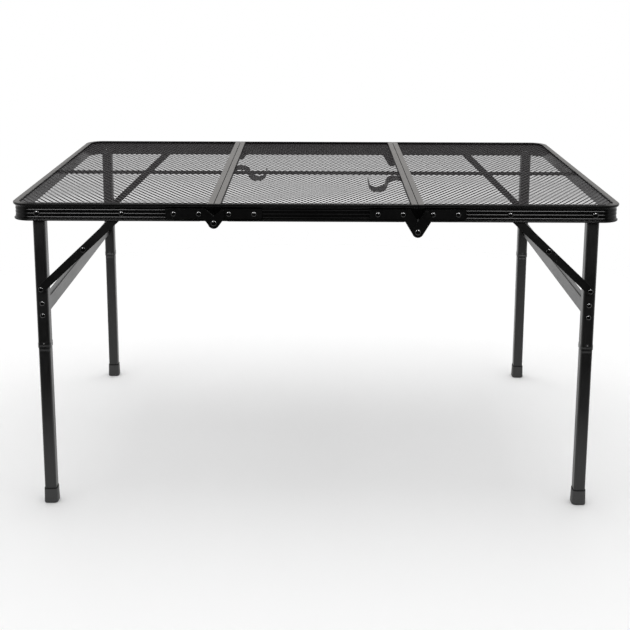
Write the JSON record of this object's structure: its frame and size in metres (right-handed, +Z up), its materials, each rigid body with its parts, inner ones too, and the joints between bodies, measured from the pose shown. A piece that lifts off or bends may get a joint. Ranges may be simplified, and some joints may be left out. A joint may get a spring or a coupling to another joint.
{
  "type": "folding table",
  "caption": "Low folding camp table: three hinged mesh panels in beaded rails on folding square-tube legs with knee braces and pull-off lower legs.",
  "frame": {"origin": "on the floor under the middle of the table", "axes": "+X along the table, +Y to the rear, +Z up"},
  "size_m": [0.9, 0.6058, 0.4785],
  "materials": {
    "mesh": "black coated net",
    "foot": "moulded black plastic",
    "rivet": "dark plated steel",
    "bar": "dark grey paint",
    "steel": "black painted steel strip",
    "tube": "black powder coat",
    "plate": "black painted pressing",
    "rail": "black anodised extrusion"
  },
  "bodies": {
    "middle_panel": {"middle_front_rail": "rail", "middle_rear_rail": "rail", "middle_left_seam_rail": "rail", "middle_right_seam_rail": "rail", "middle_mesh": "mesh", "middle_stiffener": "rail", "left_storage_clip": "steel", "right_storage_clip": "steel", "middle_hinge_plates": "plate", "middle_rivets": "rivet"},
    "left_panel": {"left_end_rail": "rail", "left_seam_rail": "rail", "left_mesh": "mesh", "left_stiffener": "rail", "left_hinge_plates": "plate", "left_hinge_pins": "rivet", "left_panel_rivets": "rivet", "left_pivot_rivets": "rivet", "left_pivot_bushes": "rivet"},
    "left_legs": {"left_front_leg": "tube", "left_rear_leg": "tube", "left_crossbar": "bar", "left_leg_rivets": "rivet"},
    "left_front_frame_link": {"left_front_frame_link": "steel", "left_front_knee_rivet": "rivet"},
    "left_front_leg_link": {"left_front_leg_link": "steel"},
    "left_front_lower_leg": {"left_front_lower_tube": "tube", "left_front_foot": "foot"},
    "left_rear_frame_link": {"left_rear_frame_link": "steel", "left_rear_knee_rivet": "rivet"},
    "left_rear_leg_link": {"left_rear_leg_link": "steel"},
    "left_rear_lower_leg": {"left_rear_lower_tube": "tube", "left_rear_foot": "foot"},
    "right_panel": {"right_end_rail": "rail", "right_seam_rail": "rail", "right_mesh": "mesh", "right_stiffener": "rail", "right_hinge_plates": "plate", "right_hinge_pins": "rivet", "right_panel_rivets": "rivet", "right_pivot_rivets": "rivet", "right_pivot_bushes": "rivet"},
    "right_legs": {"right_front_leg": "tube", "right_rear_leg": "tube", "right_crossbar": "bar", "right_leg_rivets": "rivet"},
    "right_front_frame_link": {"right_front_frame_link": "steel", "right_front_knee_rivet": "rivet"},
    "right_front_leg_link": {"right_front_leg_link": "steel"},
    "right_front_lower_leg": {"right_front_lower_tube": "tube", "right_front_foot": "foot"},
    "right_rear_frame_link": {"right_rear_frame_link": "steel", "right_rear_knee_rivet": "rivet"},
    "right_rear_leg_link": {"right_rear_leg_link": "steel"},
    "right_rear_lower_leg": {"right_rear_lower_tube": "tube", "right_rear_foot": "foot"}
  },
  "joints": [
    {"name": "left_panel_fold", "type": "hinge", "parent": "middle_panel", "child": "left_panel", "pos_m": [-0.15, 0, 0.4505], "axis": [0, 1, 0], "range_deg": [-100, 0]},
    {"name": "left_leg_fold", "type": "hinge", "parent": "left_panel", "child": "left_legs", "pos_m": [-0.4105, 0, 0.4635], "axis": [0, -1, 0], "range_deg": [0, 82]},
    {"name": "left_front_frame_link_turn", "type": "hinge", "parent": "left_panel", "child": "left_front_frame_link", "pos_m": [-0.286, -0.2934, 0.4635], "axis": [0, -1, 0], "range_deg": [-0.5, 134.84]},
    {"name": "left_front_leg_link_turn", "type": "hinge", "parent": "left_legs", "child": "left_front_leg_link", "pos_m": [-0.4105, -0.2934, 0.3455], "axis": [0, -1, 0], "range_deg": [-117.47, 0.5]},
    {"name": "left_front_leg_pull", "type": "slide", "parent": "left_legs", "child": "left_front_lower_leg", "axis": [0, 0, -1], "range_m": [0, 0.035]},
    {"name": "left_rear_frame_link_turn", "type": "hinge", "parent": "left_panel", "child": "left_rear_frame_link", "pos_m": [-0.286, 0.2934, 0.4635], "axis": [0, -1, 0], "range_deg": [-0.5, 134.84]},
    {"name": "left_rear_leg_link_turn", "type": "hinge", "parent": "left_legs", "child": "left_rear_leg_link", "pos_m": [-0.4105, 0.2934, 0.3455], "axis": [0, -1, 0], "range_deg": [-117.47, 0.5]},
    {"name": "left_rear_leg_pull", "type": "slide", "parent": "left_legs", "child": "left_rear_lower_leg", "axis": [0, 0, -1], "range_m": [0, 0.035]},
    {"name": "right_panel_fold", "type": "hinge", "parent": "middle_panel", "child": "right_panel", "pos_m": [0.15, 0, 0.438], "axis": [0, 1, 0], "range_deg": [0, 100]},
    {"name": "right_leg_fold", "type": "hinge", "parent": "right_panel", "child": "right_legs", "pos_m": [0.4105, 0, 0.4635], "axis": [0, -1, 0], "range_deg": [-82, 0]},
    {"name": "right_front_frame_link_turn", "type": "hinge", "parent": "right_panel", "child": "right_front_frame_link", "pos_m": [0.286, -0.2934, 0.4635], "axis": [0, -1, 0], "range_deg": [-134.84, 0.5]},
    {"name": "right_front_leg_link_turn", "type": "hinge", "parent": "right_legs", "child": "right_front_leg_link", "pos_m": [0.4105, -0.2934, 0.3455], "axis": [0, -1, 0], "range_deg": [-0.5, 117.47]},
    {"name": "right_front_leg_pull", "type": "slide", "parent": "right_legs", "child": "right_front_lower_leg", "axis": [0, 0, -1], "range_m": [0, 0.035]},
    {"name": "right_rear_frame_link_turn", "type": "hinge", "parent": "right_panel", "child": "right_rear_frame_link", "pos_m": [0.286, 0.2934, 0.4635], "axis": [0, -1, 0], "range_deg": [-134.84, 0.5]},
    {"name": "right_rear_leg_link_turn", "type": "hinge", "parent": "right_legs", "child": "right_rear_leg_link", "pos_m": [0.4105, 0.2934, 0.3455], "axis": [0, -1, 0], "range_deg": [-0.5, 117.47]},
    {"name": "right_rear_leg_pull", "type": "slide", "parent": "right_legs", "child": "right_rear_lower_leg", "axis": [0, 0, -1], "range_m": [0, 0.035]}
  ],
  "couplings": [
    {"joint": "left_front_frame_link_turn", "follows": "left_leg_fold", "ratio": 1.6383},
    {"joint": "left_front_leg_link_turn", "follows": "left_leg_fold", "ratio": -1.4265},
    {"joint": "left_rear_frame_link_turn", "follows": "left_leg_fold", "ratio": 1.6383},
    {"joint": "left_rear_leg_link_turn", "follows": "left_leg_fold", "ratio": -1.4265},
    {"joint": "right_front_frame_link_turn", "follows": "right_leg_fold", "ratio": 1.6383},
    {"joint": "right_front_leg_link_turn", "follows": "right_leg_fold", "ratio": -1.4265},
    {"joint": "right_rear_frame_link_turn", "follows": "right_leg_fold", "ratio": 1.6383},
    {"joint": "right_rear_leg_link_turn", "follows": "right_leg_fold", "ratio": -1.4265}
  ]
}
